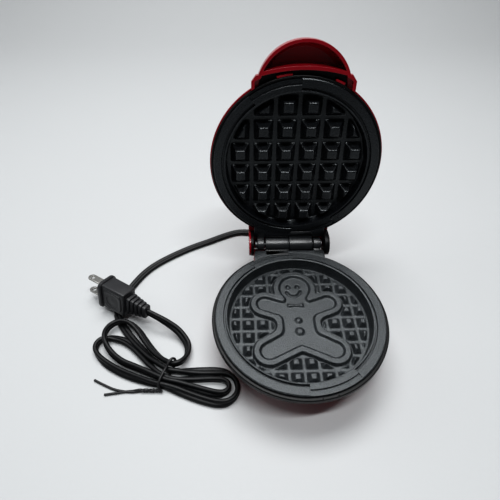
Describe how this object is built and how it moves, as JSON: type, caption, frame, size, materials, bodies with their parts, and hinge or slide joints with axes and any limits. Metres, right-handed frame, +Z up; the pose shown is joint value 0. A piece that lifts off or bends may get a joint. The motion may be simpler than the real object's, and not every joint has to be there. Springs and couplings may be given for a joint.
{
  "type": "waffle maker",
  "caption": "Small round hinged waffle maker, standing open, with a biscuit-figure plate in the base, a pyramid waffle plate in the lid, a half-moon handle and a tied flat lead with plug.",
  "frame": {"origin": "on the table, below the middle of the appliance's bounding box with the lid open, cord and plug left out", "axes": "+Z up, -Y towards the user (the front of the base), +X to the user's right, along the hinge axis"},
  "size_m": [0.2299, 0.1879, 0.1873],
  "materials": {
    "red_plastic": "moulded, glossy dark red",
    "black_plastic": "moulded, satin black",
    "plate_coating": "die-cast aluminium with a speckled grey non-stick coating",
    "plate_coating_dark": "die-cast aluminium with a dark non-stick coating",
    "element_steel": "tubular heating element, heat-tinted steel sheath",
    "bright_sheet": "bright pressed sheet",
    "screw_steel": "zinc-plated steel",
    "black_rubber": "moulded rubber",
    "ceramic_white": "heat-resistant moulding",
    "wire_white": "silicone-covered wire",
    "amber_lens": "translucent lens",
    "lamp_glass": "small neon lamp",
    "cord_black": "flat twin flex, satin black",
    "plug_black": "moulded-on plug, satin black",
    "blade_metal": "nickel-plated blades",
    "tie_black": "plastic-covered wire"
  },
  "bodies": {
    "base": {"base_shell": "red_plastic", "base_rim_ring": "black_plastic", "lower_plate": "plate_coating", "lower_element": "element_steel", "lower_heat_shield": "bright_sheet", "lower_shield_screws": "screw_steel", "lower_flange_screws": "screw_steel", "bottom_cover": "black_plastic", "cover_screws": "screw_steel", "rubber_feet": "black_rubber", "hinge_pin": "screw_steel", "pin_retainer": "screw_steel", "thermostat": "ceramic_white", "thermostat_clip": "bright_sheet", "thermal_fuse": "ceramic_white", "wire_connectors": "ceramic_white", "base_wiring": "wire_white", "cord_grommet": "black_rubber", "cord_clamp": "ceramic_white", "clamp_screws": "screw_steel", "cord_lead": "cord_black", "cord_hank": "cord_black", "cord_tail": "cord_black", "plug_body": "plug_black", "plug_blades": "blade_metal", "twist_tie": "tie_black"},
    "lid": {"lid_shell": "red_plastic", "lid_frame": "black_plastic", "upper_plate": "plate_coating_dark", "upper_element": "element_steel", "upper_heat_shield": "bright_sheet", "upper_shield_screws": "screw_steel", "upper_flange_screws": "screw_steel", "indicator_lens": "amber_lens", "indicator_lamp": "lamp_glass", "lid_wiring": "wire_white"}
  },
  "joints": [
    {"name": "lid_hinge", "type": "hinge", "parent": "base", "child": "lid", "pos_m": [0, 0.0405, 0.038], "axis": [1, 0, 0], "range_deg": [0, 99.6]}
  ]
}
